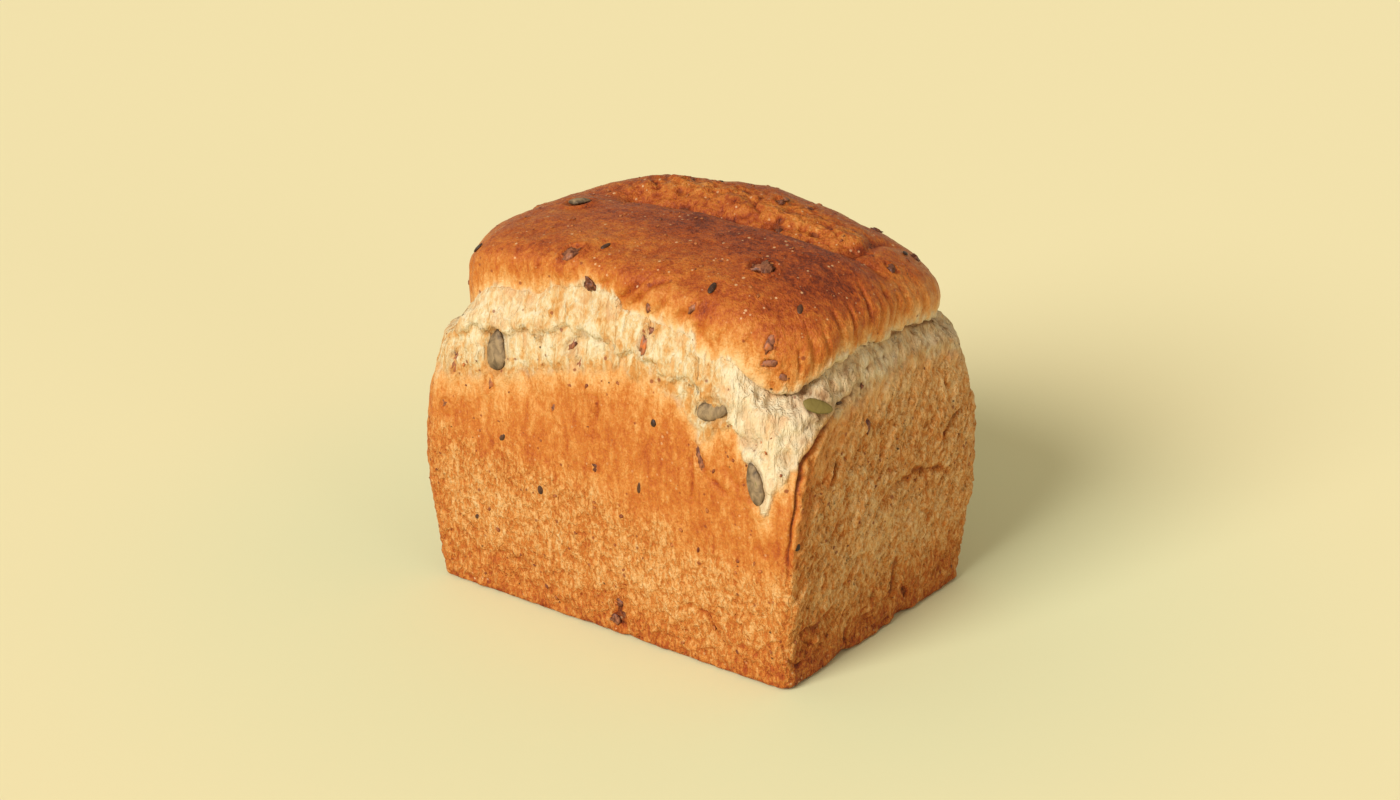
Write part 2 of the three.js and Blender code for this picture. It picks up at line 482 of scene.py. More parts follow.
# Each is (part, place, length, width, turn, proud, tone). The place is (s, height) on a "wall" and on a
# "flank" of the crown, and (x, y) seen from above on top of the "crown". Turn is in degrees clockwise from
# upright, seen from outside. Proud is how many mm stand out of the crust. Tone is 0 if dark, 1 if light.
PUMPKIN_SEEDS = [
    ("wall", (-42.4, 90), 13.5, 9.6, 2, 1.6, 0.28),
    ("wall", (47.3, 90.6), 14.0, 7.2, 66, 2.1, 0.33),
    ("wall", (62.7, 70.7), 13.5, 7.0, -16, 1.25, 0.33),
    ("wall", (91.5, 94.2), 10.0, 5.4, 112, 1.6, 1.50),
    ("crown", (-39, -15), 7.5, 6.4, 60, 2.2, 0.30),
    ("crown", (-14, 2), 9.0, 5.5, 100, 1.2, 0.35),
    ("crown", (-46, 30), 11.0, 6.5, 40, 0.8, 0.30),
    ("wall", (-112, 84), 12.5, 7.0, 70, 0.8, 0.35),
    ("wall", (-163, 58), 13.0, 7.2, 20, 0.5, 0.25),
    ("wall", (232, 91), 12.5, 7.0, 100, 0.8, 0.40),
    ("wall", (-244, 88), 13.0, 7.0, 35, 0.8, 0.30),
    ("wall", (205, 36), 12.0, 6.8, -40, 0.5, 0.25),
]

MALTED_GRAINS = [
    ("crown", (-14.8, -48.8), 6.8, 5.2, 30, 1.2, 0.35),
    ("flank", (-4.8, 119.5), 4.6, 4.4, 10, 1.3, 0.12),
    ("crown", (45, -29), 7.6, 5.8, 40, 1.5, 0.30),
    ("flank", (68.3, 114), 5.2, 3.6, 25, 0.8, 0.40),
    ("flank", (68.5, 107.8), 7.0, 2.7, 88, 0.8, 0.35),
    ("flank", (75.5, 103.4), 3.8, 3.0, 100, 0.7, 0.25),
    ("wall", (41.5, 73.5), 7.4, 3.0, -18, 0.4, 0.30),
    ("wall", (19.3, 105.2), 6.2, 2.9, 4, 1.0, 0.75),
    ("wall", (22.4, 111), 3.2, 2.8, 0, 0.8, 0.30),
    ("wall", (-1, 59.5), 3.2, 3.2, 20, 0.4, 0.10),
    ("wall", (-18.3, 76.3), 2.4, 1.8, 10, 0.3, 0.30),
    ("wall", (5.8, 12.5), 4.6, 4.2, 30, 0.7, 0.10),
    ("wall", (4.6, 6.0), 3.6, 3.4, 0, 0.7, 0.20),
    ("wall", (8.6, 8.5), 2.6, 2.2, 0, 0.5, 0.10),
    ("wall", (119.6, 80), 4.6, 2.6, 8, 0.6, 0.15),
    ("wall", (117.6, 92), 4.0, 3.0, 30, 0.5, 0.10),
    ("wall", (-61.7, 82), 7.2, 3.8, 8, 0.3, 0.40),
    ("wall", (-45.3, 79), 6.0, 4.0, 12, 0.25, 0.35),
    ("wall", (-11, 98.5), 6.0, 3.4, 35, 0.3, 0.40),
    ("wall", (-7.5, 93.5), 4.5, 2.4, 25, 0.3, 0.40),
    ("wall", (-65, 67), 3.8, 3.2, 30, 0.3, 0.30),
    ("wall", (84, 22), 3.6, 3.0, 0, 0.5, 0.10),
    ("crown", (63.7, 15), 4.2, 3.0, 60, 1.0, 0.10),
    ("crown", (17, 20), 4.2, 3.0, 120, 0.8, 0.35),
    ("crown", (-21, 22), 4.4, 3.2, 20, 0.9, 0.30),
    ("crown", (25.7, 7), 3.0, 2.6, 0, 0.4, 0.02),
    ("crown", (26, 24), 3.8, 2.8, 45, 0.8, 0.25),
    ("crown", (-64, -5), 4.0, 3.2, 0, 1.0, 0.10),
    ("flank", (21, 118), 3.0, 2.6, 0, 0.5, 0.35),
    ("flank", (38, 121), 3.4, 2.2, 40, 0.5, 0.30),
]

LINSEEDS = [
    ("crown", (38.6, -46.7), 4.8, 2.5, 5, 0.9, 0.10),
    ("crown", (-56, -46), 4.2, 2.3, 10, 0.9, 0.05),
    ("crown", (59, 30.5), 4.2, 2.3, 110, 0.9, 0.10),
    ("crown", (-5.8, -43), 4.0, 2.2, 10, 0.6, 0.15),
    ("crown", (63.7, -36), 4.0, 2.2, 30, 0.5, 0.20),
    ("crown", (37.9, 5.3), 3.6, 2.0, 80, 0.6, 0.05),
    ("wall", (-25, 46), 4.2, 3.0, 12, 0.5, 0.10),
    ("wall", (23, 80.7), 2.6, 2.4, 0, 0.5, 0.05),
    ("wall", (80, 52.5), 2.8, 2.4, 0, 0.5, 0.00),
    ("wall", (-39.5, 61), 3.6, 2.4, 40, 0.3, 0.20),
    ("wall", (17.5, 57.5), 4.2, 1.8, 6, 0.3, 0.20),
    ("wall", (-55, 28), 2.6, 2.0, 60, 0.3, 0.15),
    ("wall", (104, 91), 3.4, 2.0, 120, 0.5, 0.10),
]


# ---------------------------------------------------------------- the skin in detail

# Relief is in mm along the skin's normal. The whole number after a noise's size is its seed, so that each has
# its own pattern.

# Cracks and folds on the walls: points (s, height), width and depth in mm.
WALL_GROOVES = [
    # where the right wall's crust lies over the torn corner
    (
        [(114, 93.5), (104, 91.5), (95, 87), (89, 82), (83, 77.5), (80, 68), (77, 58), (75.5, 48), (75, 36)],
        1.0, 1.3,
    ),
    # right wall
    ([(122, 44), (132, 52), (149, 54), (162, 51), (172, 46), (180, 40)], 1.3, 0.8),
    ([(164, 51), (166, 61), (174, 66), (184, 70)], 1.2, 1.0),
    ([(103.5, 73.5), (101, 70), (99.5, 66.5)], 0.8, 2.4),
    ([(173, 66.5), (167, 61)], 0.8, 2.2),
    ([(168, 81), (169, 76)], 0.7, 1.2),
    ([(96, 60), (108, 66), (118, 73)], 1.0, 0.5),
    ([(92, 42), (104, 50), (116, 60)], 1.2, 0.7),
    ([(112, 24), (114, 31), (119, 38)], 1.4, 0.6),
    ([(84, 19), (95, 18), (105, 20)], 1.3, 0.8),
    ([(139, 8), (143, 18), (141, 28)], 1.5, 1.1),
    ([(90, 68), (94, 62), (97, 55)], 1.2, 0.5),
    ([(150, 12), (152, 5)], 1.6, 1.3),
    ([(112, 10), (115, 3)], 1.6, 1.2),
    # front wall
    ([(-72, 4), (-66, 10), (-55, 14), (-44, 15.5), (-34, 14.5), (-26, 17)], 1.1, 0.5),
    ([(-12, 13), (2, 15), (9, 18), (11, 22)], 1.0, 0.6),
    ([(20, 12), (30, 16), (38, 21), (44, 20), (50, 19.5)], 1.1, 0.6),
    ([(48, 9), (58, 12), (66, 11.5), (72, 8)], 1.1, 0.55),
    ([(7, 14), (6.5, 8), (9, 2)], 1.5, 1.0),
    ([(39.5, 56), (39, 64), (38, 72), (40.5, 84)], 1.0, 0.7),
    ([(42, 71), (48, 67), (54, 63)], 1.0, 0.6),
    ([(50, 76.5), (54, 70), (59, 66.5)], 1.4, 0.5),
    ([(0.5, 88), (0, 79), (-1.5, 71)], 1.0, 0.6),
    ([(-31, 90), (-29, 83), (-27.5, 79)], 0.9, 0.6),
    ([(-60, 78), (-58, 70), (-61, 62)], 1.2, 0.5),
    ([(18, 84), (17, 76)], 0.9, 0.4),
    # left, back and far side
    ([(-130, 60), (-118, 52), (-104, 50)], 1.3, 0.9),
    ([(-182, 26), (-166, 31), (-150, 29)], 1.3, 0.9),
    ([(-99, 20), (-92, 34), (-95, 46)], 1.2, 0.7),
    ([(-240, 48), (-228, 56), (-214, 55)], 1.3, 0.9),
    ([(215, 24), (228, 31), (246, 30)], 1.3, 1.0),
    ([(236, 70), (240, 62), (238, 54)], 1.0, 0.7),
    ([(262, 44), (268, 36)], 1.1, 0.7),
    ([(-262, 20), (-250, 23), (-236, 20)], 1.2, 0.9),
]

# The ragged tear below the front lip: a flap of torn crumb hangs over the band below it.
FLAP_EDGE = [
    (-62, 93), (-52, 97), (-40, 97), (-31, 100.5), (-23, 100.5), (-15, 103.5), (-2, 104.5), (5, 101.5),
    (14, 102), (21, 101), (28, 97), (39, 98), (45, 93), (52, 91), (58, 84),
]

# Folds in the crown's skin, as points (s, height) on its flanks.
FLANK_GROOVES = [
    ([(-30, 117), (-27, 121), (-22, 123.5)], 1.0, 0.7),
    ([(12, 115), (17, 120), (20, 124), (27, 126.5)], 1.1, 1.2),
    ([(22, 115), (26, 119), (28, 124)], 1.1, 1.0),
    ([(-2, 119), (4, 122.5), (6, 126)], 1.3, 0.7),
    ([(33, 113), (36, 118), (44, 122.5)], 1.4, 0.8),
    ([(48, 111), (50, 116), (55, 120)], 1.1, 0.7),
    ([(62, 108), (60, 114), (62, 119)], 1.0, 0.5),
    ([(84, 101), (86, 107), (84, 113)], 1.0, 0.7),
    ([(98, 104), (99, 110), (97, 116)], 0.9, 0.8),
    ([(113, 107), (114, 113), (113, 119)], 0.9, 0.8),
    ([(128, 107), (129, 112), (131, 118)], 0.9, 0.8),
    ([(141, 106), (142, 111), (143, 117)], 0.9, 0.7),
    ([(152, 105), (153, 111)], 0.9, 0.6),
    ([(6.5, 112), (7.5, 116), (12, 121), (17, 125), (21, 127)], 1.5, 1.0),
    ([(30, 112), (33, 117), (38, 121)], 1.6, 0.7),
    ([(42, 112), (41, 118), (44, 122)], 2.0, 0.8),
    ([(-66, 103), (-65, 111), (-61, 117)], 1.4, 0.5),
    ([(-58, 106), (-57, 112)], 1.3, 0.5),
    ([(-45, 112), (-43, 118)], 1.4, 0.4),
    ([(92, 103), (93, 110), (90, 117)], 1.5, 0.7),
    ([(106, 107), (106, 113), (103, 120)], 1.4, 0.8),
    ([(122, 108), (123, 116), (124, 122)], 1.1, 0.9),
    ([(134, 107), (136, 114), (137, 120)], 1.3, 0.8),
    ([(146, 106), (148, 112), (148, 118)], 1.1, 0.6),
    ([(158, 104), (159, 110)], 1.3, 0.7),
    ([(-100, 104), (-101, 112)], 1.4, 0.6),
    ([(-150, 103), (-148, 111)], 1.4, 0.6),
    ([(215, 106), (214, 114)], 1.5, 0.7),
    ([(250, 112), (251, 119)], 1.5, 0.6),
]

# Folds on top of the crown, as points (x, y).
TOP_GROOVES = [
    ([(-34, 3), (-22, 1.5), (-8, 3.5), (0, 2), (10, 4.5), (24, 3), (38, 5.5), (50, 4)], 1.8, 2.0),
    ([(48, 4), (52, 9), (55, 16), (52, 24), (54, 35)], 2.2, 2.6),
    ([(42, 6), (50, 4.5), (58, 8), (66, 10)], 1.6, 1.6),
    ([(-26, 3), (-18, 7), (-12, 6)], 1.4, 1.2),
    ([(-8, 12), (2, 15), (10, 14)], 1.5, 0.8),
    ([(16, 15), (24, 19), (34, 18)], 1.5, 0.8),
    ([(-30, 18), (-20, 22), (-8, 21)], 1.6, 0.6),
    ([(28, 8), (33, 12), (40, 11)], 1.5, 0.9),
    ([(52, -2), (58, 1), (64, 0)], 1.5, 0.7),
]

# Small burst bubbles and holes in the torn side of the far roll: (x, y), radius and depth in mm.
TOP_HOLES = [
    ((24, 8), 1.3, 1.7), ((37, 7), 1.1, 1.4), ((6, 10), 1.4, 1.4), ((12, 18), 1.2, 1.2), ((-4, 9), 1.5, 1.0),
    ((30, 14), 1.0, 1.0), ((-14, 10), 1.3, 1.1), ((0, 20), 1.0, 0.9), ((44, 14), 1.1, 1.0),
    ((18, 9), 0.9, 1.0), ((34, 22), 1.0, 0.8), ((-22, 14), 1.0, 0.8),
]


def beds(places, pieces, part):
    """The crust round that part's larger seeds, for places (..., 2) of the kind that the part uses.

    Returns the lift, a dent under each seed and a thin rim of crust round it, and the shade at its edge.
    """
    lift, shade = np.zeros(places.shape[:-1]), np.zeros(places.shape[:-1])
    for _, place, length, width, turn, _, _ in [piece for piece in pieces if piece[0] == part]:
        away = places - np.array(place)
        angle = math.radians(turn)
        along = away[..., 0] * math.sin(angle) + away[..., 1] * math.cos(angle)
        across = away[..., 0] * math.cos(angle) - away[..., 1] * math.sin(angle)
        gap = np.hypot(2 * along / length, 2 * across / width)
        size = min(1.0, length / 7)
        lift += size * (0.7 * bell(gap - 1.45, 0.28) - 0.4 * smooth(gap, 1.3, 0.95))
        shade += bell(gap - 1.0, 0.22)
    return lift, shade


def fibres(points, seed):
    """Torn crumb: broad tatters and upright strands, crossed by thin wavy ridges."""
    sway = [noise(points, 7.0, seed + 5), noise(points, 7.0, seed + 6), 0 * points[..., 0]]
    bent = points + 2.4 * np.stack(sway, axis=-1)
    tatters = 0.75 * noise(bent, (6.5, 6.5, 10), seed) + 0.30 * noise(bent, (3.0, 3.0, 4.5), seed + 3)
    strands = 0.18 * rough_noise(bent, (1.7, 1.7, 6), seed + 1, 2)
    ridges = thin_lines(bent, (4.6, 4.6, 8.5), seed + 2, 1, 4) ** 1.5
    return tatters + strands + 0.7 * ridges * smooth(noise(points, 9.0, seed + 9), -0.3, 0.4)


def wall_zones(grid):
    """Where on the block every point is, and how far each finish goes, as masks from 0 to 1 by name."""
    row = np.arange(len(grid))[:, None]
    height = grid[..., 2]
    way = np.broadcast_to(WAY_ROUND, height.shape)
    zone = SimpleNamespace(height=height, way=way, above_rim=height - RIM)
    zone.underside = np.broadcast_to(row < UNDERSIDE_ROWS, height.shape)
    zone.hidden = np.broadcast_to(row >= len(grid) - CLOSING_ROWS, height.shape)
    zone.wall = (~zone.underside & ~zone.hidden).astype(float)
    zone.unrolled = np.stack([way, height], axis=-1)
    zone.wander = zone.unrolled + wandering(grid)
    zone.corner = smooth(np.abs(way - 70), 24, 10)
    zone.right = smooth(way, 77, 84) * smooth(way, 200, 188)
    zone.near_rim = smooth(zone.above_rim, -24, -4)

    # The tear's lower edge is sharp at the open corner and fades over some mm elsewhere.
    zone.ragged = 2.6 * rough_noise(grid, (6, 6, 8), 5) + 2.6 * noise(grid, (2.2, 2.2, 9), 45)
    soft_edge = mix(mix(2.8, 1.2, zone.corner), 4.5, zone.right)
    zone.tear = zone.wall * smooth((zone.above_rim + zone.ragged) / soft_edge, -1.0, 1.0)
    crumb_top = around(
        WAY_ROUND,
        [(-185, 60), (-77, 60), (-40, 57), (-10, 54), (30, 46), (60, 40), (76, 42), (92, 70), (130, 90),
         (190, 84), (270, 60)],
        soften=6.0,
    )
    crumb = zone.wall * smooth(height - crumb_top + 7 * rough_noise(grid, 14.0, 6), 7, -9)
    zone.crumb = np.where(zone.underside, 1, crumb)
    return zone


def crumb_pits(grid, zone):
    """Pits where the dough lay against the tin, coarser towards the foot: all, and the coarse part alone."""
    foot = smooth(zone.height, 26, 3)
    fine = rough_noise(grid, (2.2, 2.2, 2.8), 7, 2)
    coarse = rough_noise(grid, (6.0, 6.0, 4.8), 17, 3)
    return 0.36 * fine + (0.28 + 0.6 * foot) * coarse + 0.30 * foot * rough_noise(grid, 3.0, 27, 2), coarse


def crumb_creases(grid, zone):
    """Thin wandering creases in the crumb, from 0 to 1, mostly near the foot."""
    creases = 2 * thin_lines(grid, (15, 15, 8), 51, 0.5, 8) * smooth(noise(grid, 19.0, 52), -0.05, 0.25)
    return creases * zone.wall * zone.crumb * mix(0.4, 1, smooth(zone.height, 42, 16))


def right_folds(grid):
    """The right wall's slanting folds: noise that is long along a slant, cut by thin lines."""
    x, y, height = np.moveaxis(grid, -1, 0)
    slant = np.stack([x, y - 0.8 * height, height + 0.4 * y], axis=-1)
    folds = 0.9 * rough_noise(slant, (9.0, 4.4, 15.0), 18, 2)
    folds += 0.8 * rough_noise(slant, (4.0, 2.1, 7.0), 28, 2)
    return folds - 1.7 * thin_lines(slant, (7.0, 3.4, 12.0), 38, 0.6, 6)


def upper_streaks(grid, zone):
    """Folds and streaks on the smooth upper walls, more of them just below the tear."""
    streaks = 0.42 * noise(grid, (6.5, 6.5, 30), 8)
    streaks += (0.20 + 0.30 * zone.near_rim) * rough_noise(grid, (2.6, 2.6, 9), 9, 3)
    streaks -= 0.7 * zone.near_rim * thin_lines(grid, (5, 5, 26), 53, 0.4, 6)
    return zone.wall * (1 - zone.crumb) * (1 - zone.tear) * streaks


def torn_crumb(grid, zone):
    """Torn strands, with crumpled webs at the wide corner and rough holes on the right."""
    webs = 0.5 - 1.8 * np.abs(rough_noise(grid, (7.0, 7.0, 11.0), 19, 3))
    holes = np.clip(rough_noise(grid, (3.6, 3.6, 3.0), 29, 2) - 0.25, 0, 1)
    strands = fibres(grid, TORN_SEED) * mix(1.15, 1.4, zone.right)
    return strands + 1.4 * zone.corner * webs - 1.3 * (0.3 + zone.right) * holes


def torn_flap(grid, zone):
    """The flap below the front lip, standing out over a dip: its lift in mm, and the shade under it."""
    edge_s, edge_height = np.transpose(FLAP_EDGE)
    edge = np.interp(zone.wander[..., 0], edge_s, edge_height)
    above = zone.height - edge - 3.0 * rough_noise(grid, 4.0, 33) - 2.0 * noise(grid, 11.0, 56)
    ends = zone.wall * smooth(zone.way, -68, -58) * smooth(zone.way, 62, 54)
    lift = ends * (1.5 * smooth(above, -0.8, 0.8) - 0.7 * bell(above + 1.6, 1.3)) - 0.2 * zone.wall
    return lift, ends * bell(above + 1.1, 1.0) * smooth(noise(grid, 7.0, 34), -0.05, 0.4)


def crust_over_corner(zone):
    """How far the right wall's crust stands proud where it lies over the torn corner."""
    edge, _ = distance_to_path(zone.wander, WALL_GROOVES[0][0])
    return 0.8 * zone.wall * bell(edge - 1.8, 1.8) * smooth(zone.way, 76, 81) * smooth(zone.way, 122, 100)


def wall_bake(grid, zone):
    """How browned the block is: darker at its foot and corners, fading below the tear, and pale inside it.

    On the right end it also carries painted shade and painted light.
    """
    height, way, right = zone.height, zone.way, zone.right
    bake = 0.49 - 0.05 * zone.near_rim - 0.14 * zone.crumb
    bake += 0.15 * smooth(height, 22, 2) + 0.14 * smooth(height, 5, 0)
    bake += 0.05 * smooth(np.abs(zone.above_rim + 24), 14, 0) * (1 - right)
    bake -= 0.30 * smooth(zone.above_rim + 0.8 * zone.ragged, -11, 1) * (1 - 0.5 * right)
    # On the right end the crust is paler overall; painted shade darkens it towards the corner beside the
    # tear, and painted light pales a patch in its middle. It is also darker towards the foot, partly
    # browning, partly painted shade.
    bake += right * (0.09 * smooth(way, 108, 80) + 0.16 * smooth(height, 34, 6) - 0.13)
    bake -= right * 0.07 * smooth(np.hypot((way - 122) / 26, (height - 42) / 24), 1.2, 0.3)
    bake += 0.07 * smooth(np.abs(way + 77), 10, 1)
    bake += 0.05 * smooth(np.abs(way - 76), 5, 1) * smooth(height, 55, 40)
    torn = 0.27 - 0.14 * right - 0.16 * zone.corner
    torn += 0.16 * smooth(zone.above_rim, 5, 0) * (1 - zone.corner)
    bake = np.where(zone.underside, 0.60, mix(bake, torn, zone.tear))
    bake += 0.09 * zone.wall * rough_noise(grid, (3, 3, 14), 42, 3)
    return bake + 0.07 * rough_noise(grid, 20.0, 41, 4)


def wall_skin():
    """The block: its base shape lifted along its normals in mm, and the values that its crust is coloured by.

    The values are bake (0 pale to 1 burnt), tear (torn crumb), crumb (pitted tin side) and painted shade (how
    dark the crust is painted deep in a crack, a pit or a gap, under the lip and over the right end's torn
    crumb).
    """
    grid = wall_grid()
    normal = outward_normals(grid)
    zone = wall_zones(grid)
    height, wall, tear = zone.height, zone.wall, zone.tear
    folded = wall * zone.right * (1 - tear)

    pits, coarse_pits = crumb_pits(grid, zone)
    creases = crumb_creases(grid, zone)
    folds = right_folds(grid)
    torn = torn_crumb(grid, zone)
    flap_lift, flap_shade = torn_flap(grid, zone)
    cracks = np.zeros(height.shape)
    for path, width, depth in WALL_GROOVES:
        cracks += wall * groove(zone.wander, path, width, WALL_CUT * depth)
    seed_lift, seed_shade = beds(zone.unrolled, PUMPKIN_SEEDS + MALTED_GRAINS, "wall")

    lift = broad_lumps(grid) * smooth(height, 0, 8) + zone.crumb * smooth(height, 0, 2) * pits
    lift += folded * smooth(height, 2, 14) * folds - creases * smooth(height, 0, 4)
    lift += upper_streaks(grid, zone) + tear * torn + flap_lift
    lift += cracks + crust_over_corner(zone) + wall * seed_lift
    # The underside only has hollows, and nothing hangs below the foot or out of the hidden rows.
    lift = np.where(zone.underside, np.minimum(0, 0.3 * coarse_pits - 0.2), lift)
    lift = np.where(zone.hidden | (height < 0.01) & ~zone.underside, np.minimum(lift, 0), lift)
    points = grid + normal * lift[..., None]
    points[..., 2] = np.maximum(points[..., 2], 0)

    # Painted shade: the crust is coloured darker in cracks, creases, pits, folds, round seeds, under the flap
    # and lip, and over the torn crumb of the shaded right end.
    painted_shade = smooth(-cracks, 0.2, 1.2) + 0.6 * flap_shade + 0.6 * creases
    painted_shade += 0.4 * zone.crumb * smooth(-pits, 0.15, 0.9) + 0.55 * folded * smooth(-folds, 0.2, 1.4)
    matted_shade = smooth(rough_noise(grid, (2.4, 2.4, 4.0), 57, 2), -0.05, 0.45)
    painted_shade += tear * (0.45 * smooth(-torn, 0.3, 1.5) + zone.right * (0.22 + 0.60 * matted_shade))
    shade_under_lip = smooth(LIP - height, 2.0, 0.2) * smooth(zone.way, 55, 75) * smooth(zone.way, 190, 165)
    painted_shade += wall * (0.5 * seed_shade + shade_under_lip)
    return points, normal, {
        "bake": wall_bake(grid, zone), "tear": tear, "crumb": zone.crumb, "painted_shade": np.clip(painted_shade, 0, 1)
    }


def crown_zones(grid):
    """Where on the crown every point is, and how far each finish goes, as masks from 0 to 1 by name."""
    x, y, height = np.moveaxis(grid, -1, 0)
    way = np.broadcast_to(WAY_ROUND, height.shape)
    zone = SimpleNamespace(x=x, y=y, height=height, way=way, above_lip=height - LIP)
    zone.shown = np.arange(len(grid))[:, None] >= CLOSING_ROWS
    zone.on_top = smooth(height, 114, 121)
    zone.lower_edge = smooth(zone.above_lip, 20, 1) * (1 + 0.9 * smooth(way, 84, 104) * smooth(way, 205, 185))
    zone.ragged = 2.6 * rough_noise(grid, (2.4, 2.4, 9), 46, 2) + 2.0 * noise(grid, (6, 6, 8), 47)
    zone.tear = smooth(zone.above_lip + zone.ragged, 2.6, 0.2) * smooth(zone.above_lip, 9, 4)
    zone.torn_top = bell(y - 14, 11) * smooth(x, -46, -26) * smooth(x, 58, 44)
    return zone


def crown_folds(grid, zone):
    """The lift of the crown's folds and burst bubbles, and of the ridges pushed up beside the flank folds."""
    shift = wandering(grid)
    unrolled = np.stack([zone.way, zone.height], axis=-1) + shift
    plan = grid[..., :2]
    folds, ridges = np.zeros(zone.height.shape), np.zeros(zone.height.shape)
    for path, width, depth in FLANK_GROOVES:
        folds += groove(unrolled, path, width, FLANK_CUT * depth)
        ridges += groove(unrolled, path, 2.6 * width, -0.7 * depth)
    for path, width, depth in TOP_GROOVES:
        folds += zone.on_top * groove(plan + shift, path, width, depth)
    for centre, radius, depth in TOP_HOLES:
        folds -= zone.on_top * depth * bell(np.linalg.norm(plan - centre, axis=-1), radius)
    return folds, ridges


def torn_top(grid):
    """The matt, lumpy side of the far roll, full of burst bubbles: its lift in mm, and its hollows' depth."""
    bubbles = 4.0 * np.clip(0.36 - cell_distance(grid, 5.5, 35), 0, 1)
    lumps = 1.8 * rough_noise(grid, (9.0, 6.0, 7.0), 25, 3)
    lumps -= 2.0 * thin_lines(grid, (13.0, 7.0, 8.0), 55, 0.4, 5)
    return lumps - bubbles, bubbles - 0.7 * lumps


def crown_bake(grid, zone):
    """How browned the crown is: darkest along the front roll, golden down its flanks, pale at its lip."""
    x, y, way, above_lip = zone.x, zone.y, zone.way, zone.above_lip
    bake = 0.56 + 0.16 * smooth(zone.height, 112, 129) + 0.17 * bell(y + 14, 16) * smooth(x, -56, 10)
    bake += 0.06 * smooth(x, 44, 72) * smooth(y, 20, -30) * smooth(above_lip, 9, 22)
    bake -= 0.10 * zone.torn_top + 0.10 * smooth(above_lip, 20, 6)
    bake -= 0.34 * smooth(above_lip + 0.7 * zone.ragged, 8, 0) * smooth(above_lip, 12, 5)
    bake -= 0.15 * smooth(np.abs(way - 42), 38, 16) * smooth(above_lip, 19, 6)
    bake -= 0.12 * smooth(way, 92, 112) * smooth(way, 200, 180) * smooth(above_lip, 17, 3)
    bake += 0.08 * rough_noise(grid, 20.0, 41, 3) + 0.06 * rough_noise(grid, 4.0, 43, 3)
    return bake + 0.15 * zone.lower_edge * rough_noise(grid, (3, 3, 16), 42, 3) + 0.06 * noise(grid, 22.0, 54)


def crown_skin():
    """The crown: its base shape lifted along its normals in mm, and the same values as wall_skin gives."""
    grid = crown_grid()
    normal = outward_normals(grid)
    zone = crown_zones(grid)
    folds, ridges = crown_folds(grid, zone)
    torn_lift, torn_depth = torn_top(grid)
    top_lift, top_shade = beds(grid[..., :2], PUMPKIN_SEEDS + MALTED_GRAINS, "crown")
    flank_lift, flank_shade = beds(np.stack([zone.way, zone.height], axis=-1), MALTED_GRAINS, "flank")

    lift = 0.6 * broad_lumps(grid) + 0.5 * noise(grid, 22.0, 54) + 0.55 * noise(grid, 12.0, 14)
    lift += 0.26 * noise(grid, 5.5, 24) + 0.12 * noise(grid, 2.4, 44)
    stretched = 0.6 * noise(grid, (5, 5, 20), 15) + 0.34 * rough_noise(grid, (2.4, 2.4, 9), 16, 2)
    lift += zone.lower_edge * stretched + 0.7 * zone.tear * fibres(grid, TORN_SEED)
    lift += zone.torn_top * torn_lift
    lift -= 1.75 * (1 - zone.torn_top) * np.clip(0.16 - cell_distance(grid, 9.0, 36), 0, 1)
    lift += folds + ridges + smooth(zone.above_lip, 2, 6) * top_lift + flank_lift
    points = grid + normal * (zone.shown * lift)[..., None]

    # Painted shade: the crown is coloured darker in its folds, the far roll's bubbles, round the seeds and in
    # the gaps of the torn lip.
    painted_shade = 0.7 * smooth(-folds, 0.3, 2.0) + zone.torn_top * smooth(torn_depth, 0.2, 1.2)
    painted_shade += 0.5 * (top_shade + flank_shade)
    painted_shade += 0.6 * zone.tear * smooth(noise(grid, (2.6, 2.6, 5), 48), 0.2, 0.7)
    return points, normal, {
        "bake": crown_bake(grid, zone), "tear": zone.tear, "crumb": 0.35 * zone.torn_top,
        "painted_shade": np.clip(painted_shade, 0, 1),
    }


WALL_POINTS, WALL_NORMALS, WALL_VALUES = wall_skin()
CROWN_POINTS, CROWN_NORMALS, CROWN_VALUES = crown_skin()
walls = skin_piece("loaf_walls", WALL_POINTS, WALL_VALUES)
crown = skin_piece("loaf_crown", CROWN_POINTS, CROWN_VALUES)


# ---------------------------------------------------------------- seeds and grains


def crust_place(part, place):
    """The point of the crust at a place, as PUMPKIN_SEEDS gives it, and the crust's mean normal round it."""
    if part == "wall":
        grid, normals, first_row = WALL_POINTS, WALL_NORMALS, UNDERSIDE_ROWS
    else:
        grid, normals, first_row = CROWN_POINTS, CROWN_NORMALS, CLOSING_ROWS + 2
    if part == "crown":
        gap = np.hypot(grid[..., 0] - place[0], grid[..., 1] - place[1])
    else:
        gap = np.hypot(WAY_ROUND - place[0], grid[..., 2] - place[1])
    gap[:first_row] = np.inf
    row, column = np.unravel_index(np.argmin(gap), gap.shape)
    near = normals[max(row - 5, 0) : row + 6, np.arange(column - 5, column + 6) % COLUMNS]
    mean = near.reshape(-1, 3).mean(axis=0)
    return grid[row, column], mean / np.linalg.norm(mean)


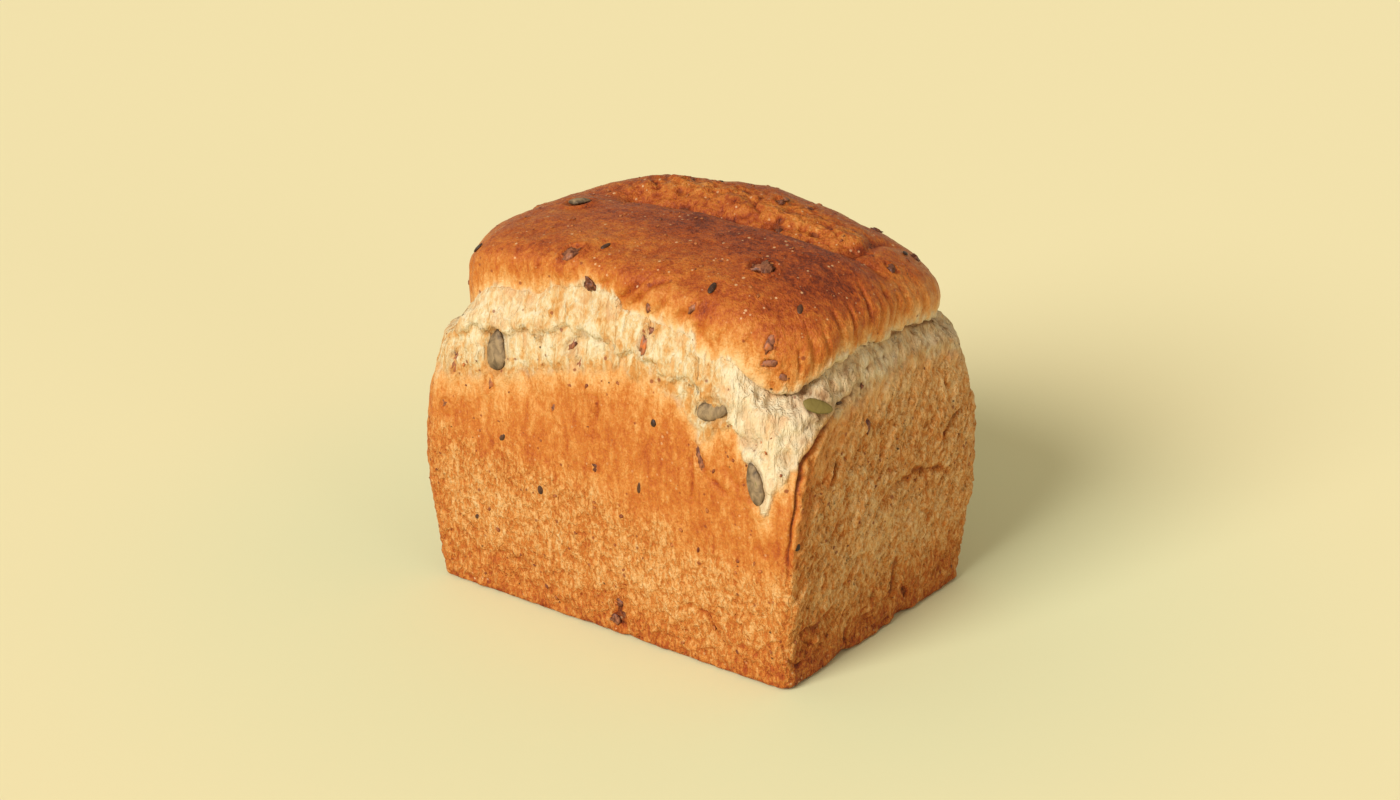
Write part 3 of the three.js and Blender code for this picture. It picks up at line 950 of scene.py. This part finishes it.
def lens(rings, sides, blunt):
    """A seed 2 long, wide and thick along z, x and y: a ball that narrows upwards, less so as blunt nears 1.

    Ring k is at the polar angle pi k / rings. Its width is the sine of that angle, less up to (1 - blunt) / 2
    at the top. Returns its points (rings + 1, sides, 3), its faces, and their corners on a unit UV tile.
    """
    polar = np.linspace(0, math.pi, rings + 1)[:, None]
    turn = 2 * math.pi * np.arange(sides) / sides
    narrow = 1 - (1 - blunt) * 0.5 * (0.5 + 0.5 * np.cos(polar))
    x = np.sin(polar) * np.cos(turn) * narrow
    y = np.sin(polar) * np.sin(turn) * narrow
    shape = np.stack([x, y, np.cos(polar) + 0 * turn], axis=-1)
    index = np.arange((rings + 1) * sides).reshape(rings + 1, sides)
    after = np.roll(index, -1, axis=1)
    quads = np.stack([index[:-1], index[1:], after[1:], after[:-1]], axis=-1).reshape(-1, 4)
    v, u = np.meshgrid(np.arange(rings) / rings, np.arange(sides) / sides, indexing="ij")
    next_u, next_v = u + 1 / sides, v + 1 / rings
    tile = np.stack([u, v, u, next_v, next_u, next_v, next_u, v], axis=-1).reshape(-1, 2)
    return shape, quads, tile


def laid(shape, piece, thickness):
    """A lens at its real length and width, turned to lie on the crust, and sunk until proud mm stand out."""
    part, place, length, width, turn, proud, _ = piece
    point, out = crust_place(part, place)
    up = np.array([0, 0, 1.0]) if abs(out[2]) < 0.9 else np.array([0, 1.0, 0])
    up = up - out * (up @ out)
    up /= np.linalg.norm(up)
    angle = math.radians(turn)
    axis = up * math.cos(angle) + np.cross(up, out) * math.sin(angle)
    across = np.cross(axis, out)
    thick = thickness * width
    local = shape * (width / 2, thick / 2, length / 2)
    centre = point + out * (proud - thick / 2)
    solid = centre + local[..., :1] * across + local[..., 1:2] * out + local[..., 2:] * axis
    solid[..., 2] = np.maximum(solid[..., 2], LOWEST_SEED)
    return solid.reshape(-1, 3)


def seed_piece(name, pieces, rings, sides, blunt, thickness, knobbly, rng):
    """One mesh of many seeds, each laid on the crust. Every seed has its own tile of the UV map and its tone.

    A seed is darkest round its rim, where the lens's y is 0.
    """
    shape, quads, tile = lens(rings, sides, blunt)
    tiles = math.ceil(math.sqrt(len(pieces)))
    places, faces, uvs, tones = [], [], [], []
    for number, piece in enumerate(pieces):
        lumps = noise(shape * 1.7 + 10 * rng.random(3), 1.0, 90 + number % 7)
        places.append(laid(shape * (1 + knobbly * lumps[..., None]), piece, thickness))
        faces.append(quads + number * shape.shape[0] * sides)
        corner = np.array([number % tiles, number // tiles])
        uvs.append((tile * 0.96 + 0.02 + corner) / tiles)
        tones.append(piece[-1] * (0.45 + 0.75 * np.abs(shape[..., 1])).ravel())
    values = {"tone": np.concatenate(tones)}
    mesh = smooth_mesh(name, np.concatenate(places), np.concatenate(faces), np.concatenate(uvs), values)
    work = bmesh.new()
    work.from_mesh(mesh)
    bmesh.ops.remove_doubles(work, verts=work.verts[:], dist=0.0005 * MM)
    bmesh.ops.recalc_face_normals(work, faces=work.faces[:])
    work.to_mesh(mesh)
    work.free()
    return new_object(name, mesh)


def scattered(count, rng, lengths, slimness, proud, hidden_only):
    """Random pieces over the crust, two thirds of them on the walls.

    With hidden_only none lies on the front, the right end or the near side of the crown.
    """
    pieces = []
    while len(pieces) < count:
        size = rng.uniform(*lengths)
        turn = rng.uniform(0, 180)
        tone = rng.random()
        if rng.random() < 0.66:
            s, up = rng.uniform(-HALF_ROUND, HALF_ROUND), rng.uniform(4, 92)
            part, place = "wall", (s, up)
            seen = -80 < s < 195
        else:
            place = (rng.uniform(-66, 66), rng.uniform(-46, 46))
            part, seen = "crown", place[1] < 22
        if not (hidden_only and seen):
            pieces.append((part, place, size, size * rng.uniform(*slimness), turn, proud * size, tone))
    return pieces


draw = np.random.default_rng(7)
grains = MALTED_GRAINS + scattered(34, draw, (2.6, 5.2), (0.5, 0.9), 0.22, True)
flat_seeds = LINSEEDS + scattered(26, draw, (2.8, 4.4), (0.5, 0.6), 0.2, True)
flakes = scattered(420, draw, (0.7, 2.0), (0.45, 0.9), 0.18, False)
SEED_PIECES = [
    (seed_piece("pumpkin_seeds", PUMPKIN_SEEDS, 12, 14, 0.35, 0.36, 0.10, draw), "pumpkin_seed"),
    (seed_piece("malted_grains", grains, 10, 12, 0.75, 0.62, 0.85, draw), "malted_grain"),
    (seed_piece("linseeds", flat_seeds, 8, 10, 0.45, 0.45, 0.08, draw), "linseed"),
    (seed_piece("bran_flakes", flakes, 3, 6, 0.8, 0.40, 0.5, draw), "bran"),
]


# ---------------------------------------------------------------- materials


def add(tree, kind, inputs=None, **settings):
    """A node with its settings, and its inputs by name: a value is set, a socket is linked."""
    made = tree.nodes.new(kind)
    for key, value in settings.items():
        setattr(made, key, value)
    for key, value in (inputs or {}).items():
        if isinstance(value, bpy.types.NodeSocket):
            tree.links.new(value, made.inputs[key])
        else:
            made.inputs[key].default_value = value
    return made


def maths(tree, operation, first, second=0.0, clamp=False):
    """The result of one Math node on two values or sockets."""
    made = add(tree, "ShaderNodeMath", {0: first, 1: second}, operation=operation, use_clamp=clamp)
    return made.outputs[0]


def product(tree, *factors, clamp=False):
    """The factors multiplied. With clamp the result is kept from 0 to 1."""
    result = factors[0]
    for factor in factors[1:]:
        result = maths(tree, "MULTIPLY", result, factor, clamp)
    return result


def total(tree, *terms, clamp=False):
    """The terms added up. With clamp only the last sum is kept from 0 to 1."""
    result = terms[0]
    for term in terms[1:-1]:
        result = maths(tree, "ADD", result, term)
    return maths(tree, "ADD", result, terms[-1], clamp)


def scaled(tree, value, strength, least):
    """least where value is 0, growing by strength up to where it is 1."""
    return total(tree, product(tree, value, strength), least)


def centred(tree, mask, strength):
    """The mask with its middle moved from 0.5 to 0, times strength."""
    return product(tree, maths(tree, "SUBTRACT", mask, 0.5), strength)


def remap(tree, value, start, end, low=0.0, high=1.0):
    """low where value is start and high where it is end, straight between them and level beyond."""
    inputs = {"Value": value, "From Min": start, "From Max": end, "To Min": low, "To Max": high}
    return add(tree, "ShaderNodeMapRange", inputs).outputs["Result"]


def ramp(tree, value, stops):
    """A colour ramp from (position, linear colour) stops."""
    made = add(tree, "ShaderNodeValToRGB", {"Fac": value})
    elements = made.color_ramp.elements
    while len(elements) < len(stops):
        elements.new(0.5)
    for element, (position, colour) in zip(elements, stops):
        element.position = position
        element.color = (*colour, 1)
    return made.outputs["Color"]


def blend(tree, share, first, second):
    """first where share is 0, second where it is 1. Either may be a colour socket or a linear colour."""
    made = add(tree, "ShaderNodeMix", {"Factor": share}, data_type="RGBA")
    for key, value in (("A", first), ("B", second)):
        socket = [i for i in made.inputs if i.name == key and i.type == "RGBA"][0]
        if isinstance(value, bpy.types.NodeSocket):
            tree.links.new(value, socket)
        else:
            socket.default_value = (*value, 1)
    return [o for o in made.outputs if o.type == "RGBA"][0]


def group(name, inputs, outputs):
    """An empty shader node group with the vector "Vector", number inputs and number outputs."""
    tree = bpy.data.node_groups.new(name, "ShaderNodeTree")
    tree.interface.new_socket("Vector", in_out="INPUT", socket_type="NodeSocketVector")
    for key, default in inputs.items():
        socket = tree.interface.new_socket(key, in_out="INPUT", socket_type="NodeSocketFloat")
        socket.default_value = default
    for key in outputs:
        tree.interface.new_socket(key, in_out="OUTPUT", socket_type="NodeSocketFloat")
    return tree, tree.nodes.new("NodeGroupInput").outputs, tree.nodes.new("NodeGroupOutput")


def speckle_group():
    """Separate specks, one in a random cell, and only in a share of the cells. Size is a share of a cell."""
    tree, given, result = group("speckle", {"Scale": 500.0, "Size": 0.3, "Share": 0.3}, ["Mask"])
    place = {"Vector": given["Vector"], "Scale": given["Scale"]}
    cells = add(tree, "ShaderNodeTexVoronoi", place, feature="F1")
    random = add(tree, "ShaderNodeSeparateColor", {"Color": cells.outputs["Color"]}).outputs
    size = product(tree, given["Size"], scaled(tree, random["Green"], 0.8, 0.35))
    near = remap(tree, cells.outputs["Distance"], size, product(tree, size, 0.6))
    kept = maths(tree, "LESS_THAN", random["Red"], given["Share"])
    tree.links.new(product(tree, near, kept), result.inputs["Mask"])
    return tree


def flecks_group():
    """Uneven flecks, as in toasted crumb or a seed's skin. Stretch lengthens them upwards.

    Mask is 0 to 1, with edges as firm as Contrast makes them. Height is the same flecks unsharpened.
    """
    inputs = {"Scale": 900.0, "Stretch": 2.0, "Contrast": 3.0}
    tree, given, result = group("flecks", inputs, ["Mask", "Height"])
    shorter = maths(tree, "DIVIDE", 1.0, given["Stretch"])
    squeeze = add(tree, "ShaderNodeCombineXYZ", {"X": 1.0, "Y": 1.0, "Z": shorter}).outputs[0]
    place = add(tree, "ShaderNodeVectorMath", {0: given["Vector"], 1: squeeze}, operation="MULTIPLY")
    texture = {"Vector": place.outputs[0], "Scale": given["Scale"]}
    texture.update({"Detail": 3.0, "Roughness": 0.6, "Distortion": 0.7})
    fine = add(tree, "ShaderNodeTexNoise", texture).outputs["Fac"]
    mask = total(tree, centred(tree, fine, given["Contrast"]), 0.5, clamp=True)
    tree.links.new(mask, result.inputs["Mask"])
    tree.links.new(fine, result.inputs["Height"])
    return tree


SPECKLE = speckle_group()
FLECKS = flecks_group()


def use(tree, node_group, **inputs):
    """The group's outputs, placed in a material's tree with its own values."""
    return add(tree, "ShaderNodeGroup", inputs, node_tree=node_group).outputs


def new_material(name):
    material = bpy.data.materials.new(name)
    material.use_nodes = True
    return material, material.node_tree, material.node_tree.nodes["Principled BSDF"]


# From pale cream crumb to burnt mahogany, read by how browned the crust is.
CRUST_STOPS = [
    (0.0, (0.75, 0.46, 0.20)),
    (0.18, (0.69, 0.345, 0.112)),
    (0.34, (0.61, 0.245, 0.056)),
    (0.48, (0.525, 0.166, 0.025)),
    (0.62, (0.46, 0.118, 0.015)),
    (0.76, (0.37, 0.072, 0.010)),
    (0.90, (0.26, 0.042, 0.0065)),
    (1.0, (0.14, 0.021, 0.005)),
]
TORN_STOPS = [
    (0.0, (0.56, 0.245, 0.060)),
    (0.3, (0.62, 0.335, 0.115)),
    (0.6, (0.66, 0.46, 0.22)),
    (1.0, (0.72, 0.60, 0.38)),
]
TORN_PALEST = (0.78, 0.64, 0.42)
# Painted shade colours: for gaps in the torn crumb, and for the deepest cracks and gaps.
TORN_SHADE = (0.36, 0.175, 0.06)
DEEP_SHADE = (0.12, 0.04, 0.013)
RED_SPECK = (0.22, 0.04, 0.012)
DARK_SPECK = (0.035, 0.014, 0.008)
PALE_SPECK = (0.68, 0.38, 0.18)


def crust_material():
    """Baked crust: its bake value, broken up by flecks, read through a ramp from cream to mahogany.

    Painted shade darkens it in cracks, pits and gaps.
    """
    material, tree, shader = new_material("baked_crust")
    place = add(tree, "ShaderNodeTexCoord").outputs["Object"]
    keys = ("bake", "tear", "crumb", "painted_shade")
    values = [add(tree, "ShaderNodeAttribute", attribute_name=key).outputs["Fac"] for key in keys]
    bake, tear, crumb, painted_shade = values
    toasted = use(tree, FLECKS, Vector=place, Scale=820.0, Stretch=1.8, Contrast=5.0)
    streaks = use(tree, FLECKS, Vector=place, Scale=460.0, Stretch=6.0, Contrast=3.0)
    clouds = use(tree, FLECKS, Vector=place, Scale=110.0, Stretch=1.2, Contrast=3.0)
    mottle = use(tree, FLECKS, Vector=place, Scale=300.0, Stretch=1.3, Contrast=3.6)
    grain = use(tree, FLECKS, Vector=place, Scale=1500.0, Stretch=1.0, Contrast=3.4)

    browned = total(
        tree,
        bake,
        centred(tree, toasted["Mask"], scaled(tree, crumb, -0.19, -0.12)),
        centred(tree, streaks["Mask"], 0.12),
        centred(tree, clouds["Mask"], 0.12),
        centred(tree, mottle["Mask"], -0.14),
        centred(tree, grain["Mask"], 0.14),
        # painted shade: darker in cracks, pits and gaps
        product(tree, painted_shade, 0.30),
    )
    # The torn crumb is pale inside and golden where the oven reached it.
    torn_tone = total(
        tree,
        centred(tree, streaks["Mask"], 0.50),
        centred(tree, toasted["Mask"], 0.40),
        centred(tree, clouds["Mask"], 0.75),
    )
    torn_tone = maths(tree, "SUBTRACT", torn_tone, remap(tree, bake, 0.30, 0.44, high=0.45))
    torn = ramp(tree, total(tree, torn_tone, 0.55, clamp=True), TORN_STOPS)
    torn = blend(tree, remap(tree, bake, 0.30, 0.05, high=0.75), torn, TORN_PALEST)
    # Painted shade: torn crumb turns brown in its gaps, and any crust turns dark brown in the deepest cracks.
    torn = blend(tree, product(tree, painted_shade, 0.8, clamp=True), torn, TORN_SHADE)
    colour = blend(tree, tear, ramp(tree, browned, CRUST_STOPS), torn)
    colour = blend(tree, remap(tree, painted_shade, 0.7, 1.0, high=0.5), colour, DEEP_SHADE)

    red_specks = use(tree, SPECKLE, Vector=place, Scale=330.0, Size=0.26, Share=0.16)["Mask"]
    colour = blend(tree, product(tree, red_specks, 0.75), colour, RED_SPECK)
    dark_specks = use(tree, SPECKLE, Vector=place, Scale=210.0, Size=0.13, Share=0.13)["Mask"]
    colour = blend(tree, product(tree, dark_specks, 0.85), colour, DARK_SPECK)
    # Pale specks show only on the well browned skin.
    pale_specks = use(tree, SPECKLE, Vector=place, Scale=500.0, Size=0.26, Share=0.30)["Mask"]
    pale = product(tree, pale_specks, product(tree, remap(tree, bake, 0.45, 0.62), 0.9))
    tree.links.new(blend(tree, pale, colour, PALE_SPECK), shader.inputs["Base Color"])

    # Smooth skin shines a little, and torn crumb least.
    skin = product(tree, maths(tree, "SUBTRACT", 1.0, crumb), maths(tree, "SUBTRACT", 1.0, tear), clamp=True)
    rough = total(tree, remap(tree, skin, 0.0, 1.0, 0.58, 0.40), product(tree, tear, 0.18))
    tree.links.new(total(tree, rough, centred(tree, grain["Mask"], 0.12)), shader.inputs["Roughness"])
    shader.inputs["Specular IOR Level"].default_value = 0.2

    relief = total(
        tree,
        product(tree, toasted["Height"], scaled(tree, crumb, 0.75, 0.36)),
        product(tree, streaks["Height"], scaled(tree, tear, 1.1, 0.30)),
        product(tree, mottle["Height"], scaled(tree, crumb, 0.6, 0.50)),
        product(tree, grain["Height"], 0.28),
    )
    relief = maths(tree, "SUBTRACT", relief, product(tree, dark_specks, 0.2))
    bump = add(tree, "ShaderNodeBump", {"Height": relief, "Strength": 1.0, "Distance": 1.3 * MM})
    tree.links.new(bump.outputs["Normal"], shader.inputs["Normal"])
    return material


def seed_material(name, stops, mottle, roughness, fine):
    """A seed's skin: a ramp read by its own tone, mottled by flecks, with a fine uneven surface."""
    material, tree, shader = new_material(name)
    place = add(tree, "ShaderNodeTexCoord").outputs["Object"]
    tone = add(tree, "ShaderNodeAttribute", attribute_name="tone").outputs["Fac"]
    patches = use(tree, FLECKS, Vector=place, Scale=fine, Stretch=1.6, Contrast=2.6)
    share = total(tree, tone, centred(tree, patches["Mask"], mottle), clamp=True)
    tree.links.new(ramp(tree, share, stops), shader.inputs["Base Color"])
    tree.links.new(scaled(tree, patches["Mask"], 0.15, roughness), shader.inputs["Roughness"])
    shader.inputs["Specular IOR Level"].default_value = 0.3
    bump = add(tree, "ShaderNodeBump", {"Height": patches["Height"], "Strength": 0.7, "Distance": 0.6 * MM})
    tree.links.new(bump.outputs["Normal"], shader.inputs["Normal"])
    return material


# Each seed's ramp of (tone, linear colour), mottle, roughness and fineness.
SEED_SKINS = {
    "pumpkin_seed": (
        [(0.0, (0.07, 0.042, 0.020)), (0.45, (0.33, 0.218, 0.110)), (0.62, (0.15, 0.125, 0.030)),
         (1.0, (0.19, 0.135, 0.030))],
        0.45, 0.55, 420.0,
    ),
    "malted_grain": (
        [(0.0, (0.105, 0.028, 0.012)), (0.5, (0.32, 0.115, 0.050)), (1.0, (0.55, 0.14, 0.02))],
        0.9, 0.36, 600.0,
    ),
    "linseed": ([(0.0, (0.03, 0.013, 0.007)), (1.0, (0.26, 0.085, 0.030))], 0.45, 0.34, 700.0),
    "bran": ([(0.0, (0.14, 0.025, 0.01)), (1.0, (0.52, 0.16, 0.035))], 0.4, 0.45, 900.0),
}
crust = crust_material()
finished = [(walls, crust), (crown, crust)]
for piece, skin in SEED_PIECES:
    finished.append((piece, seed_material(skin, *SEED_SKINS[skin])))
for piece, finish in finished:
    piece.data.materials.append(finish)
    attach(piece, "root")
    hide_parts("loaf")


# ---------------------------------------------------------------- floor, light and camera


def floor():
    """A large pale floor, a little greener near the loaf, which evens out the crust's own warm glow on it."""
    reach = 6.0
    corners = [(-reach, -reach, 0), (reach, -reach, 0), (reach, reach, 0), (-reach, reach, 0)]
    mesh = bpy.data.meshes.new("floor")
    mesh.from_pydata(corners, [], [(0, 1, 2, 3)])
    piece = new_object("floor", mesh)
    material, tree, shader = new_material("pale_floor")
    place = add(tree, "ShaderNodeTexCoord").outputs["Object"]
    away = add(tree, "ShaderNodeVectorMath", {0: place}, operation="LENGTH").outputs["Value"]
    reached = {"Value": away, "From Min": 0.26, "From Max": 0.09}
    near = add(tree, "ShaderNodeMapRange", reached, interpolation_type="SMOOTHSTEP").outputs["Result"]
    tint = blend(tree, near, (0.86, 0.745, 0.43), (0.76, 0.732, 0.435))
    tree.links.new(tint, shader.inputs["Base Color"])
    shader.inputs["Roughness"].default_value = 0.9
    shader.inputs["Specular IOR Level"].default_value = 0.1
    mesh.materials.append(material)


def direction(turn, rise):
    """The way out from the loaf at a turn from the front towards +X and a rise, both in degrees."""
    turn, rise = math.radians(turn), math.radians(rise)
    return Vector((math.sin(turn) * math.cos(rise), -math.cos(turn) * math.cos(rise), math.sin(rise)))


def facing(name, data, way, place=(0, 0, 0)):
    """A lamp or camera at a place, pointing back along way."""
    piece = bpy.data.objects.new(name, data)
    piece.location = place
    piece.rotation_euler = way.to_track_quat("Z", "Y").to_euler()
    bpy.context.scene.collection.objects.link(piece)
    return piece


def lights():
    """A broad low key from the front, a weak low fill from the right, and yellowish light all round."""
    world = bpy.data.worlds.new("studio")
    world.use_nodes = True
    background = world.node_tree.nodes["Background"]
    background.inputs["Color"].default_value = (1.0, 0.94, 0.76, 1)
    background.inputs["Strength"].default_value = 0.47
    bpy.context.scene.world = world
    # Turn, rise and spread in degrees, strength and colour.
    lamps = {
        "key": (-4, 31, 30, 3.5, (0.97, 0.985, 1.0)),
        "right_fill": (72, 7, 24, 0.42, (1.0, 0.97, 1.0)),
    }
    for name, (turn, rise, spread, strength, colour) in lamps.items():
        lamp = bpy.data.lights.new(name, "SUN")
        lamp.energy = strength
        lamp.angle = math.radians(spread)
        lamp.color = colour
        facing(name, lamp, direction(turn, rise))


def camera():
    """A long lens, 36.6 degrees round from the front towards +X and 22 degrees above."""
    data = bpy.data.cameras.new("camera")
    data.sensor_width = 36
    data.lens = 66.86
    data.clip_end = 20
    aim = Vector((-0.62 * MM, 0, 64.8 * MM))
    distance = 0.8708
    back = direction(36.6, 22)
    bpy.context.scene.camera = facing("camera", data, back, aim + back * distance)


floor()
lights()
camera()
bpy.context.scene.view_settings.view_transform = "Standard"
